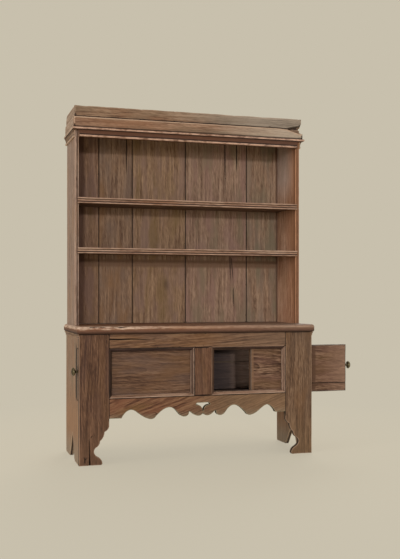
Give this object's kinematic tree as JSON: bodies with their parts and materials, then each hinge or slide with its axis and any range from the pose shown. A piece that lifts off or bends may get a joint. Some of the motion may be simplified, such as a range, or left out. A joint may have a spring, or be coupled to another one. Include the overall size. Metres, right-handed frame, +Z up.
{
  "type": "pewter cupboard",
  "caption": "Open-shelved pewter cupboard on a low case with scrolled feet and boards that slide out through its ends.",
  "frame": {"origin": "on the floor, under the middle of the lower case's width and depth", "axes": "+X to the right seen from the front, +Y to the back, +Z up"},
  "size_m": [1.712, 0.522, 2.03],
  "materials": {
    "stile_wood": "old waxed oak, worn",
    "back_board_wood": "old waxed oak, worn",
    "slide_wood": "old waxed oak, worn",
    "cornice_wood": "old waxed oak, worn",
    "moulding_wood": "old waxed oak, worn",
    "hutch_side_wood": "old waxed oak, worn",
    "shelf_wood": "old waxed oak, worn",
    "waist_wood": "old waxed oak, worn",
    "inner_wood": "old waxed oak, worn",
    "frame_wood": "old waxed oak, worn",
    "dark_brass": "dark tarnish",
    "wrought_iron": "blackened"
  },
  "bodies": {
    "case": {"back_nails": "wrought_iron", "bed_mould_front": "moulding_wood", "bed_mould_left": "moulding_wood", "bed_mould_right": "moulding_wood", "case_back_lower": "inner_wood", "case_back_upper": "inner_wood", "centre_muntin": "frame_wood", "centre_post": "inner_wood", "corner_blocks": "inner_wood", "cornice_lower": "cornice_wood", "cornice_lower_return_left": "cornice_wood", "cornice_lower_return_right": "cornice_wood", "cornice_upper": "cornice_wood", "cornice_upper_return_left": "cornice_wood", "cornice_upper_return_right": "cornice_wood", "cupboard_floor": "inner_wood", "floor_cleat_left": "inner_wood", "floor_cleat_right": "inner_wood", "frame_pegs": "frame_wood", "front_stile_left": "stile_wood", "front_stile_right": "stile_wood", "hutch_back_board_1": "back_board_wood", "hutch_back_board_2": "back_board_wood", "hutch_back_board_3": "back_board_wood", "hutch_back_board_4": "back_board_wood", "hutch_back_board_5": "back_board_wood", "hutch_dowels": "inner_wood", "hutch_side_left": "hutch_side_wood", "hutch_side_right": "hutch_side_wood", "hutch_top": "shelf_wood", "lower_runner": "inner_wood", "opening_moulding_left": "moulding_wood", "opening_moulding_right": "moulding_wood", "scroll_skirt": "frame_wood", "shelf_lower": "shelf_wood", "shelf_strip_lower": "moulding_wood", "shelf_strip_upper": "moulding_wood", "shelf_upper": "shelf_wood", "side_board_left": "frame_wood", "side_board_right": "frame_wood", "top_rail": "frame_wood", "upper_runner": "inner_wood", "waist_board": "waist_wood", "waist_cove_left": "moulding_wood", "waist_cove_right": "moulding_wood"},
    "left_board": {"knob_left": "dark_brass", "sliding_board_left": "slide_wood", "stop_peg_left": "slide_wood"},
    "right_board": {"knob_right": "dark_brass", "sliding_board_right": "slide_wood", "stop_peg_right": "slide_wood"}
  },
  "joints": [
    {"name": "left_board_slide", "type": "slide", "parent": "case", "child": "left_board", "axis": [-1, 0, 0], "range_m": [0, 0.514]},
    {"name": "right_board_slide", "type": "slide", "parent": "case", "child": "right_board", "axis": [1, 0, 0], "range_m": [-0.24, 0.238]}
  ]
}
